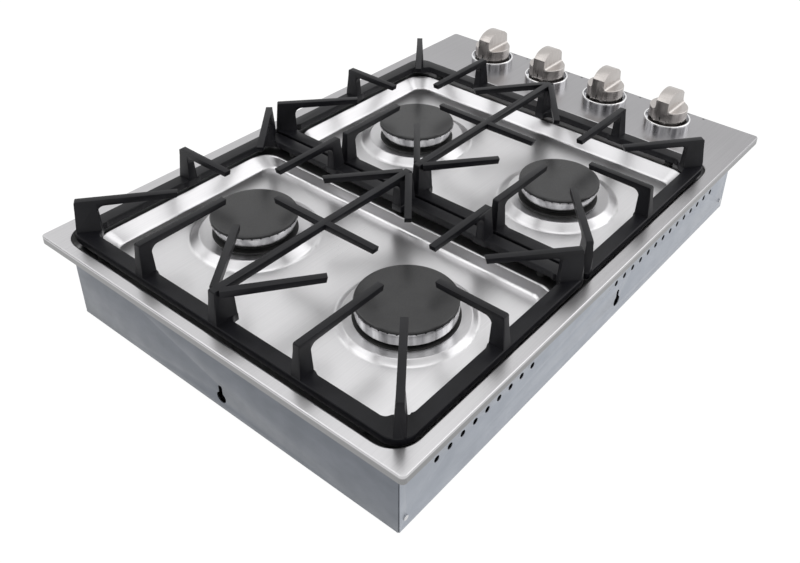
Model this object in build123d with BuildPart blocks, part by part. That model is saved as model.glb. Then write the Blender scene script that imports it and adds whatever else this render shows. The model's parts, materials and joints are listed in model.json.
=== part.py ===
"""A four-burner drop-in gas cooktop: pressed steel top, burner box, two cast pan supports.

+Z is up, +Y is the back and +X is the knob side. The origin is under the middle of the top, on the
underside of the burner box.
"""
from build123d import *
import os
from math import atan2, cos, degrees, hypot, radians, sin

os.makedirs("parts", exist_ok=True)

# ---------------------------------------------------------------- pressed top, mm
plate_x, plate_y = 762.0, 533.4      # 30 in by 21 in over the rim
plate_top = 112.0                    # rim height over the underside of the burner box
plate_corner = 5.0
sheet = 1.2                          # thickness of the pressed steel
lip = 10.0                           # height of the turned-down edge

well_left, well_right = -366.8, 265.2
well_half_y = 249.0
well_corner = 29.0
well_width = well_right - well_left
seam_x = (well_left + well_right) / 2    # line where the two pan supports meet
ledge_z = plate_top - 12.0           # ledge that carries the pan supports
floor_z = plate_top - 26.0           # floor of the two pans

ledge_x = 23.8                       # ledge width at the left and right walls
ledge_y = 17.0                       # ledge width at the front and back walls
pan_slope = 16.0                     # how far a pan wall leans out over its height
ridge_half = 28.0                    # half width of the flat ridge between the pans
ridge_slope = 5.0
pan_corner_top, pan_corner_floor = 26.0, 16.0
rim_round, ledge_round, floor_round = 2.4, 2.5, 4.0  # rounded edges of the pressing

# ---------------------------------------------------------------- burners
burner_dx, burner_dy = 148.8, 117.0  # from the seam and from the middle line
left_x, right_x = seam_x - burner_dx, seam_x + burner_dx


class Size:
    """measures of one size of burner, heights from the underside of the burner box"""

    def __init__(self, cap_r, cap_top, crown_z, low_r, flange_r, hub_z, crest_r, crest_z, ports):
        self.cap_r, self.cap_top = cap_r, cap_top
        self.crown_r, self.crown_top = cap_r + crown_over, cap_top - cap_edge
        self.crown_z, self.low_r = crown_z, low_r            # underside of the crown and its radius there
        self.flange_r, self.hub_z = flange_r, hub_z          # cup flange, and the hub it sits on
        self.crest_r, self.crest_z = crest_r, crest_z        # crest of the pressed ring
        self.neck_r = low_r - crown_wall
        self.bore_r = self.neck_r - 3.0
        self.spark_r = self.neck_r + 4.2                     # where the electrode stands
        self.ports = ports


cap_edge = 3.0                       # thickness of a cap at its rim
crown_over = 0.4                     # crown radius over cap radius
crown_wall = 6.0
small = Size(
    50.9, plate_top + 3.8, plate_top - 13.4, 47.2, 50.3, plate_top - 20.5, 65.0, plate_top - 18.5, 32
)
large = Size(
    56.2, plate_top + 0.4, plate_top - 17.8, 55.8, 58.3, plate_top - 22.0, 70.0, plate_top - 21.7, 36
)
burners = {
    "left_back": (left_x, burner_dy, small),
    "left_front": (left_x, -burner_dy, large),
    "right_back": (right_x, burner_dy, small),
    "right_front": (right_x, -burner_dy, small),
}
hub_foot = 77.0                      # where the pressed ring leaves the pan floor
port_width, port_depth = 1.8, 1.0
flange_thick = 1.2
cup_z = 66.0                         # underside of a burner cup
spigot = 5.0                         # how deep the crown's spigot sits in the cup
spigot_gap = 0.4
electrode_angle = 35.0               # round each burner, from +X
electrode_r = 2.5

# ---------------------------------------------------------------- pan supports
grate_gap = 7.0                      # frame to well wall, left and right
grate_seam = 2.0                     # each frame to the seam
grate_half_y = 245.5
frame_bar = 17.2
wall_corner, seam_corner = 22.0, 6.0     # frame corners by the well walls and at the seam
frame_top, frame_bottom = plate_top + 4.5, plate_top - 4.0
finger_top = plate_top + 43.3
finger_wide, finger_deep, finger_tip = 8.0, 7.8, 6.4
finger_reach, diagonal_reach = 40.0, 81.5    # clear radius inside the straight and diagonal fingers
cross_half = 75.0                    # half length of the short bar across the middle
corner_web, middle_web, straight_web = 28.0, 28.0, 19.0      # depth of a post
corner_base, middle_base, straight_base = 31.5, 31.5, 22.5   # depth of its foot on the frame
middle_thick = 11.0
web_fillet, foot_fillet, pad_fillet, pad_tip = 9.0, 7.0, 8.0, 3.0
post_lean, post_draft = 4.5, 2.6     # a post's outer face and sides lean in by this much over its height
foot_r, foot_high, foot_stem_r, foot_stem = 5.5, 4.0, 2.4, 6.0
foot_y = 196.0

# ---------------------------------------------------------------- knobs and valves
knob_x = 328.2
knob_pitch, knob_first = 101.4, 154.0    # first knob at the back
knob_ys = [knob_first - knob_pitch * i for i in range(4)]
knob_names = ["left_back", "right_back", "right_front", "left_front"]
knob_r, knob_low, knob_ledge = 26.5, plate_top + 6.5, plate_top + 29.5
grip_wide, grip_end, grip_mid = 19.5, plate_top + 46.0, plate_top + 53.5
bezel_r, bezel_wall, bezel_top = 32.4, 2.0, plate_top + 12.0
stem_r, stem_flat = 4.0, 2.6
running = 0.05                       # radial clearance of a running fit
push = 4.0                           # how far a knob pushes in
valve_low, valve_high = 59.0, 88.0
valve_x, valve_y = 30.0, 24.0
bonnet_r, bonnet_top = 11.0, 95.0
collar_r, collar_low, collar_high = 8.0, 104.0, 106.5
outlet_z = 74.0
manifold_r, manifold_z = 9.0, 50.0
manifold_front, manifold_back = -176.0, 246.0
inlet_r, inlet_end = 10.48, 263.0    # half-inch male pipe thread
inlet_hex, inlet_hex_end = 13.0, 249.0
bracket_ys = [103.3, -99.5]          # manifold brackets, between the valves
bracket_wide, bracket_sheet, bracket_foot = 30.0, 2.0, 14.0
spring_r, spring_wire, spring_turns = 6.0, 0.5, 3.0
seal_wide = 8.0

# ---------------------------------------------------------------- burner box
box_left, box_right, box_half_y = -360.6, 354.0, 244.4
box_sheet = 1.0
box_flange = 15.0
vent_r, vent_z, vent_pitch = 3.8, 53.0, 20.1
vent_rows = [(-306.4, 9), (33.6, 14)]    # first hole and number of holes
keyhole_r, keyhole_slot, keyhole_rise = 7.0, 3.0, 17.0
keyhole_side_z, keyhole_front_z, keyhole_x = 16.0, 21.0, 42.0
rivet_r, rivet_proud = 3.0, 1.0
rivet_places = [(x, z) for x in (box_left + 9.5, box_right - 9.5) for z in (14.0, 84.0)]
rail_wide, rail_high, rail_sheet = 62.0, 12.0, 1.5
injector_flat = 8.0
tube_r, tube_z = 4.0, 46.0
nut_r, nut_long = 7.5, 9.0
module_x, module_wide, module_long, module_high = 255.0, 44.0, 74.0, 26.0
module_out_z = 12.0                  # height of the spark leads at the module
lead_r = 1.3
gland_x, gland_z, gland_r = 250.0, 30.0, 6.0


def write(builder, name):
    """label a finished piece and write its file"""
    builder.part.label = name
    export_step(builder.part, f"parts/{name}.step")


def pan_mould(grow, drop):
    """both pans as solids, `grow` wider all round and `drop` lower than their upper faces"""
    top_x = well_left + ledge_x
    top_y = well_half_y - ledge_y
    top_end = seam_x - ridge_half
    floor_x, floor_end = top_x + pan_slope, top_end - ridge_slope
    floor_y = top_y - pan_slope
    with BuildPart() as pans:
        with BuildSketch(Plane.XY.offset(floor_z - drop)):
            with Locations(((floor_x + floor_end) / 2, 0)):
                RectangleRounded(floor_end - floor_x + 2 * grow, 2 * floor_y + 2 * grow, pan_corner_floor)
        with BuildSketch(Plane.XY.offset(ledge_z - drop)):
            with Locations(((top_x + top_end) / 2, 0)):
                RectangleRounded(top_end - top_x + 2 * grow, 2 * top_y + 2 * grow, pan_corner_top)
        loft(ruled=True)
        fillet(pans.faces().sort_by(Axis.Z)[0].edges(), floor_round)
        mirror(about=Plane.YZ.offset(seam_x))
    return pans.part


def hub_form(size, drop):
    """the raised ring round one burner, standing on the pan floor, centred on the Z axis"""
    inner = size.flange_r + 1.0
    with BuildPart() as hub:
        with BuildSketch(Plane.XZ) as profile:
            with BuildLine():
                Polyline(
                    (0, floor_z - sheet / 2 - drop),
                    (hub_foot + 5.0, floor_z - sheet / 2 - drop),
                    (hub_foot + 5.0, floor_z - drop),
                    (hub_foot, floor_z - drop),
                    (size.crest_r, size.crest_z - drop),
                    (inner, size.hub_z - drop),
                    (0, size.hub_z - drop),
                    close=True,
                )
            make_face()
            fillet(profile.vertices().sort_by_distance((hub_foot, floor_z - drop, 0))[0], 6.0)
            fillet(profile.vertices().sort_by_distance((size.crest_r, size.crest_z - drop, 0))[0], 3.0)
        revolve(axis=Axis.Z)
    return hub.part


# ---------------------------------------------------------------- the pressed top
pans_over = pan_mould(0, 0)
pans_under = pan_mould(sheet, sheet)

with BuildPart() as top_plate:
    with BuildSketch(Plane.XY.offset(plate_top - lip)):
        RectangleRounded(plate_x, plate_y, plate_corner)
    extrude(amount=lip)
    fillet(top_plate.faces().sort_by(Axis.Z)[-1].edges(), 1.5)
    with BuildSketch(Plane.XY.offset(plate_top - lip)):
        RectangleRounded(plate_x - 2 * sheet, plate_y - 2 * sheet, plate_corner - sheet)
    extrude(amount=lip - sheet, mode=Mode.SUBTRACT)
    with BuildSketch(Plane.XY.offset(ledge_z - sheet)):
        with Locations((seam_x, 0)):
            RectangleRounded(well_width + 2 * sheet, 2 * (well_half_y + sheet), well_corner + sheet)
    extrude(amount=plate_top - ledge_z)
    add(pans_under)
    with BuildSketch(Plane.XY.offset(ledge_z)):
        with Locations((seam_x, 0)):
            RectangleRounded(well_width, 2 * well_half_y, well_corner)
    extrude(amount=plate_top - ledge_z + 1, mode=Mode.SUBTRACT)
    add(pans_over, mode=Mode.SUBTRACT)
    rim_face = top_plate.faces().sort_by(Axis.Z)[-1]
    ledge_face = top_plate.faces().filter_by(Axis.Z).sort_by_distance((seam_x, 0, ledge_z))[0]
    rim_edges = [e for w in rim_face.inner_wires() for e in w.edges()]
    ledge_edges = [e for w in ledge_face.inner_wires() for e in w.edges()]
    fillet(rim_edges, rim_round)
    fillet(ledge_edges, ledge_round)
    for bx, by, size in burners.values():
        add(hub_form(size, 0).moved(Location((bx, by, 0))))
        add(hub_form(size, sheet).moved(Location((bx, by, 0))), mode=Mode.SUBTRACT)
        with BuildSketch(Plane.XY.offset(size.hub_z)):
            with Locations((bx, by)):
                Circle(size.neck_r - 2.5)
        extrude(amount=-6 * sheet, both=True, mode=Mode.SUBTRACT)
        with BuildSketch(Plane.XY.offset(size.hub_z)):
            with Locations((bx, by)):
                with PolarLocations(size.spark_r, 1, electrode_angle):
                    Circle(electrode_r + 0.6)
        extrude(amount=-3 * sheet, both=True, mode=Mode.SUBTRACT)
    with BuildSketch(Plane.XY.offset(plate_top)):
        with Locations(*[(knob_x, y) for y in knob_ys]):
            Circle(stem_r + 2.0)
    extrude(amount=-2 * sheet, mode=Mode.SUBTRACT)
write(top_plate, "top_plate")

# ---------------------------------------------------------------- the burner box: tray and two end panels
tray_y = box_half_y - box_sheet
wall_top = ledge_z - sheet
panel_top = plate_top - sheet
panel_step = well_right + sheet + 1.0    # the walls rise to the rim beyond the well

with BuildPart() as box_tray:
    with BuildSketch(Plane.XY):
        with Locations(((box_left + box_right) / 2, 0)):
            Rectangle(box_right - box_left, 2 * tray_y)
    extrude(amount=box_sheet)
    with BuildSketch(Plane.XY.offset(box_sheet)):
        with Locations((box_left, 0)):
            Rectangle(box_sheet, 2 * tray_y, align=(Align.MIN, Align.CENTER))
        with GridLocations(0, 2 * tray_y - box_sheet, 1, 2):
            with Locations((box_left, 0)):
                Rectangle(box_flange, box_sheet, align=(Align.MIN, Align.CENTER))
    extrude(amount=wall_top - box_sheet)
    with BuildSketch(Plane.XY.offset(box_sheet)):
        with Locations((box_right, 0)):
            Rectangle(box_sheet, 2 * tray_y, align=(Align.MAX, Align.CENTER))
        with GridLocations(0, 2 * tray_y - box_sheet, 1, 2):
            with Locations((box_right, 0)):
                Rectangle(box_flange, box_sheet, align=(Align.MAX, Align.CENTER))
    extrude(amount=panel_top - box_sheet)
    for wall_x in (box_left, box_right):
        with BuildSketch(Plane.YZ.offset(wall_x)):
            with Locations((0, keyhole_side_z)):
                Circle(keyhole_r)
            with Locations((0, keyhole_side_z + keyhole_rise / 2)):
                SlotCenterToCenter(keyhole_rise - 2 * keyhole_slot, 2 * keyhole_slot, rotation=90)
        extrude(amount=4 * box_sheet, both=True, mode=Mode.SUBTRACT)
    for side in (-1, 1):
        with BuildSketch(Plane.XZ.offset(-side * box_half_y)):
            with Locations(*rivet_places):
                Circle(rivet_r / 2)
        extrude(amount=4 * box_sheet, both=True, mode=Mode.SUBTRACT)
write(box_tray, "box_tray")


def end_panel(side):
    """front (-1) or back (+1) panel of the box; only the front one is vented"""
    with BuildPart() as panel:
        with BuildSketch(Plane.XZ.offset(-side * box_half_y)):
            with BuildLine():
                Polyline(
                    (box_left, 0),
                    (box_right, 0),
                    (box_right, panel_top),
                    (panel_step, panel_top),
                    (panel_step, wall_top),
                    (box_left, wall_top),
                    close=True,
                )
            make_face()
            for first, count in vent_rows if side < 0 else []:
                middle = first + vent_pitch * (count - 1) / 2
                with Locations((middle, vent_z)):
                    with GridLocations(vent_pitch, 0, count, 1):
                        Circle(vent_r, mode=Mode.SUBTRACT)
            with Locations((keyhole_x, keyhole_front_z)):
                Circle(keyhole_r, mode=Mode.SUBTRACT)
            with Locations((keyhole_x, keyhole_front_z + keyhole_rise / 2)):
                SlotCenterToCenter(
                    keyhole_rise - 2 * keyhole_slot, 2 * keyhole_slot, rotation=90, mode=Mode.SUBTRACT
                )
            with Locations(*rivet_places):
                Circle(rivet_r / 2, mode=Mode.SUBTRACT)
            if side > 0:
                with Locations((knob_x, manifold_z)):
                    Circle(manifold_r + 2.5, mode=Mode.SUBTRACT)
                with Locations((gland_x, gland_z)):
                    Circle(gland_r, mode=Mode.SUBTRACT)
        extrude(amount=side * box_sheet)
    return panel


front_panel = end_panel(-1)
write(front_panel, "front_panel")
back_panel = end_panel(1)
write(back_panel, "back_panel")

with BuildPart() as box_rivets:
    for side in (-1, 1):
        with BuildSketch(Plane.XZ.offset(-side * box_half_y)):
            with Locations(*rivet_places):
                Circle(rivet_r)
        extrude(amount=-side * rivet_proud)
        with BuildSketch(Plane.XZ.offset(-side * box_half_y)):
            with Locations(*rivet_places):
                Circle(rivet_r / 2)
        extrude(amount=side * (2 * box_sheet + 1.0))
write(box_rivets, "box_rivets")

# ---------------------------------------------------------------- cast pan supports
frame_left = well_left + grate_gap
frame_right = seam_x - grate_seam
frame_x = (frame_left + frame_right) / 2
frame_w = frame_right - frame_left


def finger_plane(start, target):
    """upright plane with its x axis from start towards target"""
    ux, uy = target[0] - start[0], target[1] - start[1]
    run = hypot(ux, uy)
    return Plane(
        origin=(start[0], start[1], 0), x_dir=(ux / run, uy / run, 0), z_dir=(uy / run, -ux / run, 0)
    )


def finger(start, target, clear, web, base, thick):
    """a post and its finger, pointing at a burner and ending at its clear radius"""
    length = hypot(target[0] - start[0], target[1] - start[1]) - clear
    under, tip_under = finger_top - finger_deep, finger_top - finger_tip
    along = finger_plane(start, target)
    with BuildPart() as solid:
        with BuildSketch(along) as profile:
            with BuildLine():
                Polyline(
                    (0, frame_bottom),
                    (post_lean, finger_top),
                    (length, finger_top),
                    (length - 1.5, tip_under),
                    (web - 1.0, under),
                    (web, frame_top),
                    (base, frame_top),
                    (base, frame_bottom),
                    close=True,
                )
            make_face()
            fillet(profile.vertices().sort_by_distance((web, under, 0))[0], web_fillet)
            fillet(profile.vertices().sort_by_distance((post_lean, finger_top, 0))[0], 2.0)
            foot = min(foot_fillet, base - web - 0.2)
            fillet(profile.vertices().sort_by_distance((web, frame_top, 0))[0], foot)
        extrude(amount=thick / 2, both=True)
        for z, outer, inner, wide in (
            (frame_bottom, 0.0, web, thick + 2 * post_draft),
            (finger_top - 4.0, post_lean, web - 1.0, thick),
        ):
            with BuildSketch(Plane(origin=(start[0], start[1], z), x_dir=along.x_dir)):
                with Locations(((outer + inner) / 2, 0)):
                    Rectangle(inner - outer, wide)
        loft(ruled=True)
    return solid.part


def pad(start, target, base, thick):
    """cut the foot of a post, in plan, out of the hollow of the frame"""
    ux, uy = target[0] - start[0], target[1] - start[1]
    turn = degrees(atan2(uy, ux))
    run = hypot(ux, uy)
    with Locations((start[0] + ux / run * base / 2, start[1] + uy / run * base / 2)):
        Rectangle(base, thick + 2 * post_draft, rotation=turn, mode=Mode.SUBTRACT)


def bar(start, end, thick):
    """a plain finger-height bar between two points"""
    length = hypot(end[0] - start[0], end[1] - start[1])
    with BuildPart() as solid:
        with BuildSketch(finger_plane(start, end)):
            with BuildLine():
                Polyline(
                    (0, finger_top - finger_deep),
                    (0, finger_top),
                    (length, finger_top),
                    (length - 1.5, finger_top - finger_tip),
                    close=True,
                )
            make_face()
        extrude(amount=thick / 2, both=True)
    return solid.part


wall_in, seam_in = wall_corner * (1 - cos(radians(45))), seam_corner * (1 - cos(radians(45)))
posts = []
finger_parts = []
for sign in (-1, 1):
    burner = (left_x, sign * burner_dy)
    posts += [
        ((frame_left, burner[1]), burner, finger_reach, straight_web, straight_base, finger_wide),
        ((frame_right, burner[1]), burner, finger_reach, straight_web, straight_base, finger_wide),
        ((left_x, sign * grate_half_y), burner, finger_reach, straight_web, straight_base, finger_wide),
        (
            (frame_left + wall_in, sign * (grate_half_y - wall_in)),
            burner, diagonal_reach, corner_web, corner_base, finger_wide,
        ),
        (
            (frame_right - seam_in, sign * (grate_half_y - seam_in)),
            burner, diagonal_reach, corner_web, corner_base, finger_wide,
        ),
    ]
    for end in (frame_left, frame_right):
        inward = middle_thick / 2 if end == frame_left else -middle_thick / 2
        reach = hypot(burner[0] - end - inward, burner[1])
        stop = 1 - diagonal_reach / reach
        tip = (end + inward + (burner[0] - end - inward) * stop, burner[1] * stop)
        finger_parts.append(bar((end + 2 * inward, burner[1] * inward / (burner[0] - end)), tip, finger_wide))
    finger_parts.append(bar((left_x, 0), (left_x, sign * cross_half), finger_wide))
middle = (left_x, 0)
posts.append(((frame_left, 0), middle, -1.0, middle_web, middle_base, middle_thick - 2))
posts.append(((frame_right, 0), middle, -1.0, middle_web, middle_base, middle_thick - 2))
finger_parts += [finger(*post) for post in posts]

foot_places = [(frame_left + frame_bar / 2, -foot_y), (frame_left + frame_bar / 2, foot_y),
               (frame_right - frame_bar / 2, -foot_y), (frame_right - frame_bar / 2, foot_y)]

with BuildSketch(Plane.XY.offset(frame_bottom)) as outline:
    with Locations((frame_x, 0)):
        Rectangle(frame_w, 2 * grate_half_y)
    fillet(outline.vertices().sort_by(Axis.X)[:2], wall_corner)
    fillet(outline.vertices().sort_by(Axis.X)[-2:], seam_corner)

with BuildPart() as uprights:
    add(finger_parts)
    add(outline.sketch)
    extrude(amount=finger_top - frame_bottom, mode=Mode.INTERSECT)

with BuildSketch(Plane.XY.offset(frame_bottom)) as hollow:
    with Locations((frame_x, 0)):
        Rectangle(frame_w - 2 * frame_bar, 2 * (grate_half_y - frame_bar))
    for start, target, clear, web, base, thick in posts:
        pad(start, target, base, thick)
    offset(amount=-pad_fillet)
    offset(amount=pad_fillet + pad_tip)
    offset(amount=-pad_tip)

with BuildPart() as grate_left:
    add(outline.sketch)
    extrude(amount=frame_top - frame_bottom)
    add(hollow.sketch)
    extrude(amount=frame_top - frame_bottom, mode=Mode.SUBTRACT)
    chamfer(grate_left.faces().sort_by(Axis.Z)[-1].edges(), 0.8)
    add(uprights.part)
    with BuildSketch(Plane.XY.offset(ledge_z + foot_high)):
        with Locations(*foot_places):
            Circle(foot_r)
    extrude(amount=frame_bottom - ledge_z - foot_high)
    with BuildSketch(Plane.XY.offset(ledge_z + foot_high)):
        with Locations(*foot_places):
            Circle(foot_stem_r)
    extrude(amount=foot_stem, mode=Mode.SUBTRACT)
write(grate_left, "grate_left")

with BuildPart() as grate_right:
    add(grate_left.part)
    mirror(about=Plane.YZ.offset(seam_x), mode=Mode.REPLACE)
write(grate_right, "grate_right")

with BuildPart() as grate_feet_left:
    with BuildSketch(Plane.XY.offset(ledge_z)):
        with Locations(*foot_places):
            Circle(foot_r)
    extrude(amount=foot_high)
    with BuildSketch(Plane.XY.offset(ledge_z + foot_high)):
        with Locations(*foot_places):
            Circle(foot_stem_r)
    extrude(amount=foot_stem)
write(grate_feet_left, "grate_feet_left")

with BuildPart() as grate_feet_right:
    add(grate_feet_left.part)
    mirror(about=Plane.YZ.offset(seam_x), mode=Mode.REPLACE)
write(grate_feet_right, "grate_feet_right")

# ---------------------------------------------------------------- burners
for name, (bx, by, size) in burners.items():
    crown_r, crown_top, crown_z = size.crown_r, size.crown_top, size.crown_z
    cap_r, cap_top, neck_r, bore_r = size.cap_r, size.cap_top, size.neck_r, size.bore_r

    with BuildPart() as cap:
        with BuildSketch(Plane.XZ):
            with BuildLine():
                Polyline(
                    (0, crown_top + 1.2),
                    (crown_r - crown_wall - 2.5, crown_top + 1.2),
                    (crown_r - crown_wall - 2.5, crown_top - 1.6),
                    (crown_r - crown_wall - 0.6, crown_top - 1.6),
                    (crown_r - crown_wall - 0.4, crown_top),
                    (cap_r - 0.5, crown_top),
                    (cap_r, crown_top + 0.5),
                    (cap_r, cap_top - 1.5),
                    (cap_r - 0.4, cap_top - 0.7),
                    (cap_r - 1.3, cap_top - 0.2),
                    (cap_r - 3.5, cap_top),
                    (0, cap_top),
                    close=True,
                )
            make_face()
        revolve(axis=Axis.Z)
        cap.part.position = (bx, by, 0)
    write(cap, f"cap_{name}")

    with BuildPart() as crown:
        with BuildSketch(Plane.XZ):
            with BuildLine():
                Polyline(
                    (bore_r - 6.0, crown_z - spigot),
                    (bore_r - spigot_gap, crown_z - spigot),
                    (bore_r - spigot_gap, crown_z),
                    (size.low_r - 0.8, crown_z),
                    (size.low_r, crown_z + 0.8),
                    (crown_r, crown_top - 2.0),
                    (crown_r, crown_top),
                    (crown_r - crown_wall, crown_top),
                    (size.low_r - crown_wall, crown_z + 2.5),
                    (bore_r - 6.0, crown_z + 2.5),
                    close=True,
                )
            make_face()
        revolve(axis=Axis.Z)
        with BuildSketch(Plane.XY.offset(crown_top)):
            with PolarLocations(crown_r - crown_wall / 2, size.ports):
                Rectangle(2 * crown_wall, port_width)
        extrude(amount=-port_depth, mode=Mode.SUBTRACT)
        crown.part.position = (bx, by, 0)
    write(crown, f"crown_{name}")

    with BuildPart() as cup:
        with BuildSketch(Plane.XZ):
            with BuildLine():
                Polyline(
                    (7.0, cup_z),
                    (neck_r - 4.0, cup_z),
                    (neck_r - 2.6, size.hub_z - 6.0),
                    (neck_r - 2.6, size.hub_z),
                    (size.flange_r, size.hub_z),
                    (size.flange_r, size.hub_z + flange_thick - 0.4),
                    (size.flange_r - 0.4, size.hub_z + flange_thick),
                    (neck_r + 0.8, size.hub_z + flange_thick),
                    (neck_r, size.hub_z + flange_thick + 0.8),
                    (neck_r, crown_z),
                    (bore_r, crown_z),
                    (bore_r, size.hub_z - 8.0),
                    (neck_r - 7.0, cup_z + 3.0),
                    (7.0, cup_z + 3.0),
                    close=True,
                )
            make_face()
        revolve(axis=Axis.Z)
        with BuildSketch(Plane.XY.offset(size.hub_z)):
            with PolarLocations(size.spark_r, 1, electrode_angle):
                Circle(electrode_r)
        extrude(amount=3 * flange_thick, both=True, mode=Mode.SUBTRACT)
        cup.part.position = (bx, by, 0)
    write(cup, f"cup_{name}")


def spark_place(name):
    """where a burner's electrode stands"""
    bx, by, size = burners[name]
    turn = radians(electrode_angle)
    return bx + size.spark_r * cos(turn), by + size.spark_r * sin(turn)


with BuildPart() as electrodes:
    for name, (bx, by, size) in burners.items():
        place = spark_place(name)
        with BuildSketch(Plane.XY.offset(cup_z + 6.0)):
            with Locations(place):
                Circle(electrode_r)
        extrude(amount=size.crown_z - 3.0 - cup_z - 6.0)
        with BuildSketch(Plane.XY.offset(cup_z)):
            with Locations(place):
                Circle(0.9)
        extrude(amount=size.crown_z - 1.2 - cup_z)
write(electrodes, "electrodes")

with BuildPart() as injectors:
    for bx, by, size in burners.values():
        with BuildSketch(Plane.XY.offset(tube_z - 6.0)):
            with Locations((bx, by)):
                RegularPolygon(injector_flat, 6, major_radius=False, rotation=30)
        extrude(amount=cup_z - rail_sheet - tube_z + 6.0)
        with BuildSketch(Plane.XY.offset(cup_z - rail_sheet)):
            with Locations((bx, by)):
                Circle(7.0)
        extrude(amount=rail_sheet + 5.0)
        with BuildSketch(Plane.XY.offset(cup_z + 5.0)):
            with Locations((bx, by)):
                RegularPolygon(4.5, 6)
        extrude(amount=7.0)
    with Locations(*[(bx, by, cup_z + 12.0) for bx, by, size in burners.values()]):
        Hole(0.6, 8.0)
write(injectors, "injectors")

for name, rail_x in (("rail_left", left_x), ("rail_right", right_x)):
    with BuildPart() as rail:
        with BuildSketch(Plane.XZ.offset(-tray_y + box_sheet)):
            with Locations((rail_x, cup_z)):
                Rectangle(rail_wide, rail_high, align=(Align.CENTER, Align.MAX))
            with Locations((rail_x, cup_z - rail_sheet)):
                Rectangle(
                    rail_wide - 2 * rail_sheet, rail_high, align=(Align.CENTER, Align.MAX), mode=Mode.SUBTRACT
                )
        extrude(amount=2 * (tray_y - box_sheet))
        with BuildSketch(Plane.XY.offset(cup_z)):
            with Locations((rail_x, burner_dy), (rail_x, -burner_dy)):
                Circle(7.0)
        extrude(amount=-2 * rail_sheet, mode=Mode.SUBTRACT)
    write(rail, name)

# ---------------------------------------------------------------- gas manifold with its threaded inlet
with BuildPart() as manifold:
    with BuildSketch(Plane.XZ.offset(-manifold_front)):
        with Locations((knob_x, manifold_z)):
            Circle(manifold_r)
    extrude(amount=manifold_front - manifold_back)
    with BuildSketch(Plane.XZ.offset(-manifold_back)):
        with Locations((knob_x, manifold_z)):
            RegularPolygon(inlet_hex, 6, rotation=30)
    extrude(amount=manifold_back - inlet_hex_end)
    with BuildSketch(Plane.XZ.offset(-inlet_hex_end)):
        with Locations((knob_x, manifold_z)):
            Circle(inlet_r)
    extrude(amount=inlet_hex_end - inlet_end)
    with BuildSketch(Plane.XZ.offset(-manifold_front - 2.0)):
        with Locations((knob_x, manifold_z)):
            Circle(manifold_r - 1.5)
    extrude(amount=manifold_front + 2.0 - inlet_end, mode=Mode.SUBTRACT)
write(manifold, "manifold")

with BuildPart() as manifold_brackets:
    for y in bracket_ys:
        with BuildSketch(Plane.XZ.offset(-y)):
            with Locations((knob_x, box_sheet)):
                Rectangle(bracket_wide, manifold_z - box_sheet, align=(Align.CENTER, Align.MIN))
            with Locations((knob_x, manifold_z)):
                Circle(manifold_r, mode=Mode.SUBTRACT)
        extrude(amount=bracket_sheet)
        with BuildSketch(Plane.XY.offset(box_sheet)):
            with Locations((knob_x, y)):
                Rectangle(bracket_wide, bracket_foot, align=(Align.CENTER, Align.MAX))
        extrude(amount=bracket_sheet)
write(manifold_brackets, "manifold_brackets")

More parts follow.
